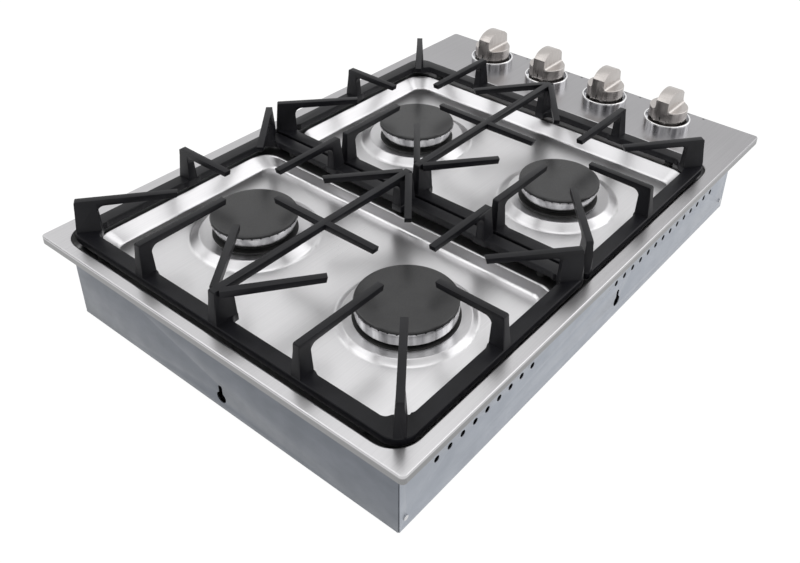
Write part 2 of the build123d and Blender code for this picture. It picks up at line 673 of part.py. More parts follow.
# ---------------------------------------------------------------- valves, knobs and bezels
for name, ky in zip(knob_names, knob_ys):
    with BuildPart() as valve:
        with BuildSketch(Plane.XY.offset(manifold_z)):
            with Locations((knob_x, ky)):
                RectangleRounded(valve_x, valve_y, 3.0)
        extrude(amount=valve_high - manifold_z)
        with BuildSketch(Plane.XY.offset(valve_high)):
            with Locations((knob_x, ky)):
                Circle(bonnet_r)
        extrude(amount=bonnet_top - valve_high)
        with BuildSketch(Plane.YZ.offset(knob_x - valve_x / 2)):
            with Locations((ky, outlet_z)):
                RegularPolygon(7.0, 6)
        extrude(amount=-5.0)
        with BuildSketch(Plane.XY.offset(bonnet_top)):
            with Locations((knob_x, ky)):
                Circle(stem_r + running)
        extrude(amount=-30.0, mode=Mode.SUBTRACT)
        with BuildSketch(Plane.XZ.offset(-ky)):
            with Locations((knob_x, manifold_z)):
                Circle(manifold_r)
        extrude(amount=valve_y, both=True, mode=Mode.SUBTRACT)
    write(valve, f"valve_{name}")

    with BuildPart() as collar:
        with BuildSketch(Plane.XY.offset(collar_low)):
            with Locations((knob_x, ky)):
                Circle(collar_r)
                Circle(stem_r + running, mode=Mode.SUBTRACT)
        extrude(amount=collar_high - collar_low)
    write(collar, f"collar_{name}")

    with BuildPart() as spring:
        with BuildLine() as coil:
            Helix(
                pitch=(collar_low - bonnet_top - 2 * spring_wire) / spring_turns,
                height=collar_low - bonnet_top - 2 * spring_wire,
                radius=spring_r,
                center=(knob_x, ky, bonnet_top + spring_wire),
            )
        with BuildSketch(Plane(origin=coil.line @ 0, z_dir=coil.line % 0)):
            RegularPolygon(spring_wire, 6)
        sweep(is_frenet=True)
    write(spring, f"spring_{name}")

    with BuildPart() as stem:
        with BuildSketch(Plane.XY.offset(bonnet_top - 24.0)):
            with Locations((knob_x, ky)):
                Circle(stem_r)
        extrude(amount=plate_top - bonnet_top + 24.0)
        with BuildSketch(Plane.XY.offset(plate_top)):
            with Locations((knob_x, ky)):
                Circle(stem_r)
                with Locations((stem_flat, 0)):
                    Rectangle(stem_r, 3 * stem_r, align=(Align.MIN, Align.CENTER), mode=Mode.SUBTRACT)
        extrude(amount=knob_ledge - 4.0 - plate_top)
    write(stem, f"stem_{name}")

    with BuildPart() as knob:
        with BuildSketch(Plane.XY.offset(knob_low)):
            with Locations((knob_x, ky)):
                Circle(knob_r)
        extrude(amount=knob_ledge - knob_low)
        fillet(knob.edges().filter_by(GeomType.CIRCLE).sort_by(Axis.Z)[-1], 1.0)
        with BuildSketch(Plane.XZ.offset(-ky)):
            with BuildLine():
                Line((knob_x - knob_r, knob_low), (knob_x + knob_r, knob_low))
                Line((knob_x + knob_r, knob_low), (knob_x + knob_r, grip_end))
                ThreePointArc((knob_x + knob_r, grip_end), (knob_x, grip_mid), (knob_x - knob_r, grip_end))
                Line((knob_x - knob_r, grip_end), (knob_x - knob_r, knob_low))
            make_face()
        extrude(amount=grip_wide / 2, both=True)
        with BuildSketch(Plane.XY.offset(knob_low)):
            with Locations((knob_x, ky)):
                Circle(knob_r - 3.0)
                Circle(stem_r + 4.0, mode=Mode.SUBTRACT)
        extrude(amount=knob_ledge - knob_low - 5.0, mode=Mode.SUBTRACT)
        with BuildSketch(Plane.XY.offset(knob_low)):
            with Locations((knob_x, ky)):
                Circle(stem_r)
                with Locations((stem_flat, 0)):
                    Rectangle(stem_r, 3 * stem_r, align=(Align.MIN, Align.CENTER), mode=Mode.SUBTRACT)
        extrude(amount=knob_ledge - 4.0 - knob_low, mode=Mode.SUBTRACT)
    write(knob, f"knob_{name}")

    with BuildPart() as bezel:
        with BuildSketch(Plane.XY.offset(plate_top)):
            with Locations((knob_x, ky)):
                Circle(bezel_r)
        extrude(amount=bezel_top - plate_top)
        rim = bezel.edges().sort_by(Axis.Z)[-1]
        fillet(rim, 0.9)
        with BuildSketch(Plane.XY.offset(plate_top + sheet)):
            with Locations((knob_x, ky)):
                Circle(bezel_r - bezel_wall)
        extrude(amount=bezel_top - plate_top, mode=Mode.SUBTRACT)
        with BuildSketch(Plane.XY.offset(plate_top)):
            with Locations((knob_x, ky)):
                Circle(stem_r + 2.0)
        extrude(amount=2 * sheet, mode=Mode.SUBTRACT)
    write(bezel, f"bezel_{name}")


# ---------------------------------------------------------------- gas tubes from valve to burner
def gas_tube(route, bends):
    """an aluminium tube along straight runs joined by arcs"""
    with BuildPart() as tube:
        with BuildLine() as path:
            FilletPolyline(*route, radius=bends)
        with BuildSketch(Plane(origin=path.line @ 0, z_dir=path.line % 0)):
            Circle(tube_r)
        sweep(path=path.line)
    return tube


valve_face = knob_x - valve_x / 2 - 5.0
for name, ky in zip(knob_names, knob_ys):
    bx, by, size = burners[name]
    side = 1 if by > 0 else -1
    start = [(valve_face, ky, outlet_z), (valve_face - 30.0, ky, outlet_z)]
    finish = [(bx + 45.0, by, tube_z), (bx + injector_flat, by, tube_z)]
    if bx > seam_x:
        middle_run = [(valve_face - 70.0, ky + 0.35 * (by - ky), tube_z)]
    else:
        middle_run = [(valve_face - 75.0, side * 190.0, tube_z), (bx + 120.0, side * 190.0, tube_z)]
    tube = gas_tube(start + middle_run + finish, 14.0)
    write(tube, f"tube_{name}")

with BuildPart() as tube_nuts:
    for name, ky in zip(knob_names, knob_ys):
        bx, by, size = burners[name]
        with BuildSketch(Plane.YZ.offset(valve_face)):
            with Locations((ky, outlet_z)):
                RegularPolygon(nut_r, 6)
                Circle(tube_r, mode=Mode.SUBTRACT)
        extrude(amount=-nut_long)
        with BuildSketch(Plane.YZ.offset(bx + injector_flat)):
            with Locations((by, tube_z)):
                RegularPolygon(nut_r, 6)
                Circle(tube_r, mode=Mode.SUBTRACT)
        extrude(amount=nut_long)
write(tube_nuts, "tube_nuts")

# ---------------------------------------------------------------- spark module, its leads and the cable gland
with BuildPart() as spark_module:
    with BuildSketch(Plane.XY.offset(box_sheet)):
        with Locations((module_x, 0)):
            RectangleRounded(module_wide, module_long, 3.0)
    extrude(amount=module_high)
    chamfer(spark_module.faces().sort_by(Axis.Z)[-1].edges(), 1.5)
write(spark_module, "spark_module")

lead_z = box_sheet + lead_r
lead_ys = (24.0, 8.0, -8.0, -24.0)
module_face = module_x - module_wide / 2
with BuildPart() as spark_leads:
    for name, lead_y in zip(("right_back", "left_back", "left_front", "right_front"), lead_ys):
        end_x, end_y = spark_place(name)
        with BuildLine() as route:
            FilletPolyline(
                (module_face, lead_y, module_out_z),
                (module_face - 26.0, lead_y, module_out_z),
                (module_face - 52.0, lead_y, lead_z),
                (end_x, lead_y, lead_z),
                (end_x, end_y, lead_z),
                (end_x, end_y, cup_z),
                radius=16.0,
            )
        with BuildSketch(Plane(origin=route.line @ 0, z_dir=route.line % 0)):
            Circle(lead_r)
        sweep(path=route.line)
write(spark_leads, "spark_leads")

with BuildPart() as cable_gland:
    with BuildSketch(Plane.XZ.offset(-box_half_y + 2 * box_sheet)):
        with Locations((gland_x, gland_z)):
            Circle(gland_r + 2.5)
    extrude(amount=-box_sheet)
    with BuildSketch(Plane.XZ.offset(-box_half_y + box_sheet)):
        with Locations((gland_x, gland_z)):
            Circle(gland_r)
    extrude(amount=-box_sheet)
    with BuildSketch(Plane.XZ.offset(-box_half_y)):
        with Locations((gland_x, gland_z)):
            Circle(gland_r + 2.5)
    extrude(amount=-5.0)
    with BuildSketch(Plane.XZ.offset(-box_half_y + 3 * box_sheet)):
        with Locations((gland_x, gland_z)):
            Circle(gland_r - 2.5)
    extrude(amount=-12.0, mode=Mode.SUBTRACT)
write(cable_gland, "cable_gland")

# ---------------------------------------------------------------- foam seal under the rim
with BuildPart() as rim_seal:
    with BuildSketch(Plane.XY.offset(plate_top - lip)):
        RectangleRounded(plate_x - 2 * sheet, plate_y - 2 * sheet, plate_corner - sheet)
        RectangleRounded(
            plate_x - 2 * sheet - 2 * seal_wide, plate_y - 2 * sheet - 2 * seal_wide, 2.0, mode=Mode.SUBTRACT
        )
    extrude(amount=lip - sheet)
write(rim_seal, "rim_seal")
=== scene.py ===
"""Looks of a four-burner drop-in gas cooktop: brushed top, cast pan supports, capped burners, knobs."""

import json
from math import atan2, cos, hypot, pi, radians

import bpy
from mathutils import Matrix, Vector


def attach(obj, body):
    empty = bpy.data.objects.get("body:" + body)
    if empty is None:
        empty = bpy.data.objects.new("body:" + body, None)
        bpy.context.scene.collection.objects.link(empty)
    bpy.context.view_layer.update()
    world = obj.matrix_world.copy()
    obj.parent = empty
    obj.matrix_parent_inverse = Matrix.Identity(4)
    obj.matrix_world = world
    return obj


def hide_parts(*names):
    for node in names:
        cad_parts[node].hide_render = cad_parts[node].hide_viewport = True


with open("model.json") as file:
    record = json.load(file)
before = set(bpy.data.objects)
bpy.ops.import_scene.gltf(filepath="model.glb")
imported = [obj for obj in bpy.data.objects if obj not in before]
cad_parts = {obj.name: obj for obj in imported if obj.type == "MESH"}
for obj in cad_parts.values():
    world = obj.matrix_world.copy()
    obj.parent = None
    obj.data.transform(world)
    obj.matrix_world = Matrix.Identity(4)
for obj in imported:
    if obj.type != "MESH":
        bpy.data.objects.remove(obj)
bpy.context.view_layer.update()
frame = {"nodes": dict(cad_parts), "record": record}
nodes = frame["nodes"]
scene = bpy.context.scene
MM = 0.001


# ---------------------------------------------------------------- node helpers
def new_finish(name):
    """a new material with its nodes and shader, and the piece's own coordinates"""
    material = bpy.data.materials.new(name)
    material.use_nodes = True
    tree = material.node_tree
    shader = tree.nodes["Principled BSDF"]
    coords = tree.nodes.new("ShaderNodeTexCoord")
    return material, tree, shader, coords.outputs["Object"]


def stretched(tree, place, scale):
    """coordinates scaled differently along each axis"""
    mapping = tree.nodes.new("ShaderNodeMapping")
    mapping.inputs["Scale"].default_value = scale
    tree.links.new(place, mapping.inputs["Vector"])
    return mapping.outputs["Vector"]


def axes_of(tree, place):
    """the three coordinates, by their letters"""
    axes = tree.nodes.new("ShaderNodeSeparateXYZ")
    tree.links.new(place, axes.inputs["Vector"])
    return axes.outputs


def noise(tree, place, scale, detail=3.0, rough=0.5):
    """value noise over the piece"""
    texture = tree.nodes.new("ShaderNodeTexNoise")
    texture.inputs["Scale"].default_value = scale
    texture.inputs["Detail"].default_value = detail
    texture.inputs["Roughness"].default_value = rough
    tree.links.new(place, texture.inputs["Vector"])
    return texture.outputs["Fac"]


def spread(tree, value, low, high, start=0.3, end=0.7):
    """a value spread between two levels; start and end suit a noise"""
    fit = tree.nodes.new("ShaderNodeMapRange")
    fit.inputs["From Min"].default_value = start
    fit.inputs["From Max"].default_value = end
    fit.inputs["To Min"].default_value = low
    fit.inputs["To Max"].default_value = high
    tree.links.new(value, fit.inputs["Value"])
    return fit.outputs["Result"]


def step(tree, value, limits):
    """0 below the first limit and 1 above the second"""
    return spread(tree, value, 0.0, 1.0, *limits)


def mixed(tree, share, first, second):
    """two values mixed in a fixed share"""
    blend = tree.nodes.new("ShaderNodeMix")
    blend.inputs["Factor"].default_value = share
    tree.links.new(first, blend.inputs["A"])
    tree.links.new(second, blend.inputs["B"])
    return blend.outputs["Result"]


SHARE_IN, COLOUR_A_IN, COLOUR_B_IN, COLOUR_OUT = 0, 6, 7, 2  # sockets of a mix node that mixes colours


def blended(tree, share, first, second):
    """a colour that runs from the first to the second as the share goes from 0 to 1"""
    blend = tree.nodes.new("ShaderNodeMix")
    blend.data_type = "RGBA"
    tree.links.new(share, blend.inputs[SHARE_IN])
    tree.links.new(first, blend.inputs[COLOUR_A_IN])
    tree.links.new(second, blend.inputs[COLOUR_B_IN])
    return blend.outputs[COLOUR_OUT]


def two_tones(tree, value, dark, light, start=0.35, end=0.65):
    """a colour that runs from dark to light with a value"""
    ramp = tree.nodes.new("ShaderNodeValToRGB")
    ramp.color_ramp.elements[0].position = start
    ramp.color_ramp.elements[0].color = (*dark, 1)
    ramp.color_ramp.elements[1].position = end
    ramp.color_ramp.elements[1].color = (*light, 1)
    tree.links.new(value, ramp.inputs["Fac"])
    return ramp.outputs["Color"]


def bump(tree, shader, height, depth):
    """surface relief of a real depth in metres"""
    relief = tree.nodes.new("ShaderNodeBump")
    relief.inputs["Strength"].default_value = 1.0
    relief.inputs["Distance"].default_value = depth
    tree.links.new(height, relief.inputs["Height"])
    tree.links.new(relief.outputs["Normal"], shader.inputs["Normal"])


# ---------------------------------------------------------------- finishes
# where a tone gives way to the next, all of them painted light and shade: heights on the top and the bezels, x
# along the rim and in the left wall
floor_to_wall, wall_to_ledge, ledge_to_rim = (0.0862, 0.0885), (0.0990, 0.0999), (0.1085, 0.1100)
rim_run, left_wall, bezel_edge = (-0.38, 0.33), (-0.3598, -0.3590), (0.1212, 0.1220)


def brushed_metal(name, dark, light, rough, grain, depth):
    """metal with a brushed grain; grain is the noise scale along x, y and z"""
    material, tree, shader, place = new_finish(name)
    shader.inputs["Metallic"].default_value = 1.0
    lines = noise(tree, stretched(tree, place, grain), 1.0, detail=4.0, rough=0.6)
    clouds = noise(tree, place, 9.0)
    tree.links.new(two_tones(tree, lines, dark, light), shader.inputs["Base Color"])
    tree.links.new(spread(tree, mixed(tree, 0.35, lines, clouds), *rough), shader.inputs["Roughness"])
    bump(tree, shader, lines, depth)
    return material


def pressed_steel(name, tones, rough, grain, depth):
    """brushed sheet with painted light and shade: bright pan floors, dimmer walls, a painted shadow on the
    ledge, a rim darker at the knobs
    """
    material, tree, shader, place = new_finish(name)
    shader.inputs["Metallic"].default_value = 1.0
    lines = noise(tree, stretched(tree, place, grain), 1.0)
    clouds = noise(tree, place, 6.0, detail=2.0)
    axes = axes_of(tree, place)
    tone = {part: two_tones(tree, lines, *pair) for part, pair in tones.items()}
    # painted reflection: the rim runs from a lit left end to a shaded knob end
    rim = blended(tree, step(tree, axes["X"], rim_run), tone["left_rim_lit"], tone["knob_rim_shaded"])
    # painted light and shade: the pans' floors are lighter than their walls
    low = blended(tree, step(tree, axes["Z"], floor_to_wall), tone["floor"], tone["wall"])
    # painted shadow: the supports' ledge and the well wall up to the rim are dark
    high = blended(tree, step(tree, axes["Z"], ledge_to_rim), tone["ledge"], rim)
    colour = blended(tree, step(tree, axes["Z"], wall_to_ledge), low, high)
    tree.links.new(colour, shader.inputs["Base Color"])
    tree.links.new(spread(tree, mixed(tree, 0.6, lines, clouds), *rough), shader.inputs["Roughness"])
    bump(tree, shader, lines, depth)
    return material


def cast_finish(name, dark, light, rough, grit, depth, metallic=0.0, specular=0.5):
    """a cast, moulded or enamelled surface with a fine grit"""
    material, tree, shader, place = new_finish(name)
    shader.inputs["Metallic"].default_value = metallic
    shader.inputs["Specular IOR Level"].default_value = specular
    fine = noise(tree, place, grit, detail=4.0, rough=0.6)
    broad = noise(tree, place, grit / 30)
    tree.links.new(two_tones(tree, broad, dark, light), shader.inputs["Base Color"])
    tree.links.new(spread(tree, fine, *rough), shader.inputs["Roughness"])
    bump(tree, shader, fine, depth)
    return material


def galvanised(name, dark, light, left_wall_shade):
    """zinc-coated sheet with a faint mottle, and painted shade on the left wall of the box"""
    material, tree, shader, place = new_finish(name)
    shader.inputs["Metallic"].default_value = 0.8
    mottle = noise(tree, stretched(tree, place, (30, 30, 55)), 1.0, detail=4.0, rough=0.55)
    # painted shade: the left wall of the box takes the darker pair of tones
    out_of_shade = step(tree, axes_of(tree, place)["X"], left_wall)
    tone = blended(tree, out_of_shade, two_tones(tree, mottle, *left_wall_shade), two_tones(tree, mottle, dark, light))
    tree.links.new(tone, shader.inputs["Base Color"])
    tree.links.new(spread(tree, noise(tree, place, 40.0), low=0.34, high=0.44), shader.inputs["Roughness"])
    bump(tree, shader, noise(tree, place, 900.0), 0.000006)
    return material


def ring_painted_reflection(name, dark, light, highlight_tone, rough):
    """bright ring: soft upright streaks round its wall are a painted reflection, and a bezel's upper edge has a
    painted highlight tone of its own
    """
    material, tree, shader, place = new_finish(name)
    shader.inputs["Metallic"].default_value = 1.0
    reflection_streaks = noise(tree, stretched(tree, place, (95, 95, 6)), 1.0, rough=0.55)
    fine = noise(tree, place, 500.0)
    # painted reflection: dark and light streaks round the wall
    wall = two_tones(tree, reflection_streaks, dark, light, start=0.38, end=0.6)
    top = two_tones(tree, fine, light, highlight_tone)
    # painted highlight on the bezel's upper edge
    tone = blended(tree, step(tree, axes_of(tree, place)["Z"], bezel_edge), wall, top)
    tree.links.new(tone, shader.inputs["Base Color"])
    tree.links.new(spread(tree, fine, *rough), shader.inputs["Roughness"])
    bump(tree, shader, fine, 0.000002)
    return material


def grey(level):
    """an even grey"""
    return (level, level, level)


# painted light and shade on one steel: bright floors, dimmer walls, a dark ledge for the shadow under the
# supports, a rim lit at the left and shaded at the knobs
steel_painted_light_tones = {
    "floor": ((0.67, 0.665, 0.675), (0.72, 0.715, 0.725)),
    "wall": ((0.54, 0.535, 0.545), (0.59, 0.585, 0.595)),
    "ledge": ((0.24, 0.24, 0.243), (0.28, 0.28, 0.283)),
    "left_rim_lit": ((0.55, 0.545, 0.555), (0.60, 0.595, 0.605)),
    "knob_rim_shaded": ((0.345, 0.34, 0.35), (0.39, 0.385, 0.395)),
}
steel = pressed_steel("brushed_stainless", steel_painted_light_tones, (0.27, 0.33), (9, 2200, 2200), 0.0000012)
# its darker pair is painted shade on the box's left wall
zinc = galvanised(
    "galvanised_sheet", (0.36, 0.385, 0.43), (0.40, 0.425, 0.47),
    left_wall_shade=((0.165, 0.178, 0.20), (0.19, 0.203, 0.228)),
)
iron = cast_finish(
    "black_cast_enamel", (0.006, 0.006, 0.0075), (0.009, 0.009, 0.0115), (0.31, 0.42), 1500, 0.000014,
    specular=0.20,
)
cap_black = cast_finish(
    "cap_enamel_black", (0.016, 0.016, 0.017), (0.021, 0.021, 0.022), (0.26, 0.33), 2200, 0.000006
)
# crowns and bezels: the upright streaks are painted reflections, the bezels' upper edge a painted highlight
crown_metal = ring_painted_reflection(
    "crown_aluminium_painted_reflection", (0.42, 0.42, 0.43), (0.78, 0.78, 0.79), (0.78, 0.78, 0.79), (0.16, 0.24)
)
# painted shade: the burner cups are near-black, standing for the shadowed gap under each crown
cup_shade_black = cast_finish("cup_painted_shade_black", grey(0.012), grey(0.022), (0.45, 0.6), 1500, 0.00002, specular=0.3)
nickel = brushed_metal(
    "satin_nickel", (0.42, 0.395, 0.38), (0.52, 0.49, 0.47), (0.26, 0.36), (900, 900, 30), 0.000003
)
chrome = ring_painted_reflection(
    "polished_chrome", (0.24, 0.24, 0.25), (0.72, 0.72, 0.73), (0.93, 0.93, 0.94), (0.07, 0.13)
)
ink = cast_finish("printed_ink", grey(0.03), grey(0.045), (0.5, 0.65), 2500, 0.000004)
brass = cast_finish(
    "machined_brass", (0.58, 0.42, 0.17), (0.66, 0.49, 0.21), (0.25, 0.38), 900, 0.00001, metallic=1.0
)
drawn = brushed_metal(
    "drawn_aluminium", (0.55, 0.55, 0.56), (0.66, 0.66, 0.67), (0.25, 0.4), (60, 900, 900), 0.00001
)
wire = brushed_metal(
    "spring_wire", (0.35, 0.35, 0.36), (0.45, 0.45, 0.46), (0.25, 0.4), (700, 700, 700), 0.00001
)
ceramic = cast_finish("glazed_ceramic", (0.74, 0.72, 0.66), (0.80, 0.78, 0.73), (0.15, 0.25), 400, 0.00001)
rubber = cast_finish("black_rubber", grey(0.018), grey(0.026), (0.65, 0.8), 1200, 0.00002)
foam = cast_finish("grey_foam", grey(0.10), grey(0.15), (0.85, 0.95), 1600, 0.0002)
plastic = cast_finish("black_plastic", grey(0.02), grey(0.03), (0.4, 0.5), 1400, 0.00001)
silicone = cast_finish("white_silicone", (0.66, 0.66, 0.64), (0.72, 0.72, 0.70), (0.45, 0.6), 700, 0.00001)

finishes = {
    "brushed_steel": steel, "galvanised_steel": zinc, "cast_iron": iron, "cap_enamel": cap_black,
    "crown_aluminium": crown_metal, "cup_aluminium": cup_shade_black, "satin_nickel": nickel, "bright_chrome": chrome,
    "brass": brass, "tube_aluminium": drawn, "spring_steel": wire, "ceramic": ceramic, "black_rubber": rubber,
    "grey_foam": foam, "black_plastic": plastic, "white_silicone": silicone,
}
slots = {part["node"]: part["material_slot"] for part in frame["record"]["subparts"]}
bodies = frame["record"]["behaviour"]["bodies"]
body_of = {node: body for body, members in bodies.items() for node in members}


def dress(piece, material):
    """gives a piece one material"""
    piece.data.materials.clear()
    piece.data.materials.append(material)


for node, piece in nodes.items():
    dress(piece, finishes[slots[node]])


# ---------------------------------------------------------------- mesh helpers
weld_gap, flat_angle, sharp_angle, smooth_angle = 0.00002, radians(0.5), radians(30), radians(40)


def only(piece):
    """selects one piece and makes it active"""
    bpy.ops.object.select_all(action="DESELECT")
    piece.select_set(True)
    bpy.context.view_layer.objects.active = piece


def settle():
    """puts the place, turn and size of the selected piece into its mesh"""
    bpy.ops.object.transform_apply(location=True, rotation=True, scale=True)


def pick(piece, kind, wanted):
    """selects, in edit mode, the vertices or edges whose points all pass a test"""
    bpy.ops.mesh.select_mode(type=kind)
    bpy.ops.mesh.select_all(action="DESELECT")
    bpy.ops.object.mode_set(mode="OBJECT")
    points = piece.data.vertices
    for item in points if kind == "VERT" else piece.data.edges:
        ends = [item.co] if kind == "VERT" else [points[i].co for i in item.vertices]
        item.select = all(wanted(end) for end in ends)
    bpy.ops.object.mode_set(mode="EDIT")


def eased(node, width, steps, shape=None):
    """a copy of a rigid node, reshaped if asked, with its sharp edges rounded over"""
    piece = bpy.data.objects.new(node + "_eased", nodes[node].data.copy())
    scene.collection.objects.link(piece)
    only(piece)
    bpy.ops.mesh.customdata_custom_splitnormals_clear()
    bpy.ops.object.mode_set(mode="EDIT")
    bpy.ops.mesh.select_all(action="SELECT")
    bpy.ops.mesh.remove_doubles(threshold=weld_gap)
    bpy.ops.mesh.dissolve_limited(angle_limit=flat_angle)
    if shape:
        shape(piece)
    bpy.ops.object.mode_set(mode="OBJECT")
    edges = piece.modifiers.new("eased_edges", "BEVEL")
    edges.width = width
    edges.segments = steps
    edges.limit_method = "ANGLE"
    edges.angle_limit = sharp_angle
    bpy.ops.object.modifier_apply(modifier="eased_edges")
    bpy.ops.object.shade_smooth_by_angle(angle=smooth_angle)
    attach(piece, body_of[node])
    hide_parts(node)
    return piece


def cut(piece, other, operation):
    """applies a boolean with another piece, which is then removed"""
    change = piece.modifiers.new("cut", "BOOLEAN")
    change.operation = operation
    change.object = other
    change.solver = "EXACT"
    only(piece)
    bpy.ops.object.modifier_apply(modifier="cut")
    bpy.data.objects.remove(other)


# ---------------------------------------------------------------- pan supports
# the frame of the left support: the seam between the two, its own sides and ends, and the radii of its corners
seam_x, support_left_x, support_right_x, support_half_y = -0.0508, -0.3598, -0.0528, 0.2455
wall_corner_r, seam_corner_r = 0.022, 0.006
burner_off_seam, burner_y = 0.1488, 0.117
burner_x = seam_x - burner_off_seam
deep_post, plain_post = 0.028, 0.019

# its posts: where each starts on the frame, what it points at, and its depth
corner_share = 1 - cos(pi / 4)
wall_in, seam_in = wall_corner_r * corner_share, seam_corner_r * corner_share
posts = [
    ((support_left_x, 0), (burner_x, 0), deep_post),
    ((support_right_x, 0), (burner_x, 0), deep_post),
]
for sign in (-1, 1):
    burner = (burner_x, sign * burner_y)
    posts += [
        ((support_left_x, burner[1]), burner, plain_post),
        ((support_right_x, burner[1]), burner, plain_post),
        ((burner_x, sign * support_half_y), burner, plain_post),
        ((support_left_x + wall_in, sign * (support_half_y - wall_in)), burner, deep_post),
        ((support_right_x - seam_in, sign * (support_half_y - seam_in)), burner, deep_post),
    ]

# the pads at the posts' feet: their top, where past a post's face they start and end, half their width, the
# share of them that is kept, and the gap that is welded after
pad_top, pad_start, pad_end, pad_half, pad_kept, pad_weld = 0.1201, 0.00003, 0.005, 0.009, 0.1, 0.00008


def plain_feet(piece):
    """draws the pads at the feet of a support's posts back to the posts' inner faces"""
    side = 1 if piece.name.startswith("grate_left") else -1
    for start, target, depth in posts:
        x, run_x = seam_x + side * (start[0] - seam_x), side * (target[0] - start[0])
        y, run_y = start[1], target[1] - start[1]
        ux, uy = run_x / hypot(run_x, run_y), run_y / hypot(run_x, run_y)

        def on_pad(at):
            ahead = (at.x - x) * ux + (at.y - y) * uy
            across = (at.y - y) * ux - (at.x - x) * uy
            in_reach = depth + pad_start < ahead < depth + pad_end
            return at.z < pad_top and in_reach and abs(across) < pad_half

        pick(piece, "VERT", on_pad)
        turn = atan2(uy, ux)
        bpy.ops.transform.rotate(value=turn, orient_axis="Z", center_override=(x, y, 0))
        bpy.ops.transform.resize(value=(pad_kept, 1, 1), center_override=(x + depth, y, 0))
        bpy.ops.transform.rotate(value=-turn, orient_axis="Z", center_override=(x, y, 0))
    bpy.ops.mesh.select_all(action="SELECT")
    bpy.ops.mesh.remove_doubles(threshold=pad_weld)


for node in ("grate_left", "grate_right"):
    eased(node, width=0.0014, steps=3, shape=plain_feet)


# ---------------------------------------------------------------- knobs
knob_names = ["left_back", "right_back", "right_front", "left_front"]
knob_x, knob_ys = 0.3282, [0.154, 0.0526, -0.0488, -0.1502]
knob_r, grip_foot, grip_half, grip_hollow = 0.0265, 0.1415, 0.00975, 0.0045
grip_upper, grip_lean = grip_foot + 0.008, (0.915, 0.95, 1)
# how far from the middle of the grip, and how much further down each step of its rounded end lies
grip_drops = [(0.015, 0.0002), (0.0175, 0.0004), (0.0195, 0.0006), (0.0215, 0.0011)]


def grip_shape(piece):
    """leans the ends of a knob's grip in, and rounds their upper edges"""
    middle = sum(v.co.y for v in piece.data.vertices) / len(piece.data.vertices)
    middle = min(knob_ys, key=lambda y: abs(y - middle))
    pick(piece, "VERT", lambda at: at.z > grip_upper)
    bpy.ops.transform.resize(value=grip_lean, center_override=(knob_x, middle, 0))
    for reach, drop in grip_drops:
        pick(piece, "VERT", lambda at: at.z > grip_upper and abs(at.x - knob_x) > reach)
        bpy.ops.transform.translate(value=(0, 0, -drop))


def grip_hollow_strip():
    """the hollow round between one cheek of a grip and the ledge, for a knob on the Z axis"""
    sunk, below_low, below_high, trim_depth, trim_up = 0.0004, 0.00005, 0.00075, 0.006, 0.002
    middle = (grip_hollow - sunk) / 2
    bpy.ops.object.select_all(action="DESELECT")
    bpy.ops.mesh.primitive_cube_add(size=1, location=(0, grip_half + middle, grip_foot + middle))
    strip = bpy.context.object
    strip.name = "grip_strip"
    strip.scale = (2 * knob_r, grip_hollow + sunk, grip_hollow + sunk)
    settle()
    bpy.ops.mesh.primitive_cylinder_add(
        vertices=48, radius=grip_hollow, depth=4 * knob_r, rotation=(0, pi / 2, 0),
        location=(0, grip_half + grip_hollow, grip_foot + grip_hollow),
    )
    cut(strip, bpy.context.object, "DIFFERENCE")
    bpy.ops.mesh.primitive_cone_add(
        vertices=96, radius1=knob_r - below_low, radius2=knob_r - below_high, depth=trim_depth,
        location=(0, 0, grip_foot + trim_up),
    )
    cut(strip, bpy.context.object, "INTERSECT")
    only(strip)
    bpy.ops.object.shade_smooth_by_angle(angle=smooth_angle)
    dress(strip, nickel)
    return strip


strip = grip_hollow_strip()
for name, y in zip(knob_names, knob_ys):
    knob = eased("knob_" + name, width=0.0008, steps=3, shape=grip_shape)
    for turn in (0, pi):
        only(strip)
        bpy.ops.object.duplicate()
        cheek = bpy.context.object
        cheek.location = (knob_x, y, 0)
        cheek.rotation_euler = (0, 0, turn)
        settle()
        knob.select_set(True)
        bpy.context.view_layer.objects.active = knob
        bpy.ops.object.join()
bpy.data.objects.remove(strip)


# ---------------------------------------------------------------- box panels and rivets
panel_seam, panel_left_end, panel_right_end = 0.0009, -0.3600, 0.3535


def panel_ends(piece):
    """pulls the ends of a box panel in from the corners, which leaves the fine seam seen there"""
    pick(piece, "VERT", lambda at: at.x < panel_left_end)
    bpy.ops.transform.translate(value=(panel_seam, 0, 0))
    pick(piece, "VERT", lambda at: at.x > panel_right_end)
    bpy.ops.transform.translate(value=(-panel_seam, 0, 0))


for node in ("front_panel", "back_panel"):
    eased(node, width=0.0003, steps=2, shape=panel_ends)
dress(nodes["box_rivets"], drawn)


# ---------------------------------------------------------------- pressed panels in the underside of the tray
tray_splits, tray_margin, tray_slope, tray_sink = (-0.125, 0.112), 0.028, 0.004, 0.0007
underside_z, smallest_area = 0.00005, 0.01


def bottom_faces(piece):
    """selects the large faces that lie on the underside of the box"""
    bpy.ops.mesh.select_all(action="DESELECT")
    bpy.ops.object.mode_set(mode="OBJECT")
    for face in piece.data.polygons:
        lies_flat = face.normal.z < -0.99 and face.center.z < underside_z
        face.select = lies_flat and face.area > smallest_area
    bpy.ops.object.mode_set(mode="EDIT")


tray = eased("box_tray", width=0.0004, steps=2)
only(tray)
bpy.ops.object.mode_set(mode="EDIT")
bpy.ops.mesh.select_mode(type="FACE")
for split in tray_splits:
    bottom_faces(tray)
    bpy.ops.mesh.bisect(plane_co=(split, 0, 0), plane_no=(1, 0, 0))
bottom_faces(tray)
bpy.ops.mesh.inset(thickness=tray_margin, use_individual=True)
bpy.ops.mesh.inset(thickness=tray_slope, depth=-tray_sink, use_individual=True)
bpy.ops.object.mode_set(mode="OBJECT")


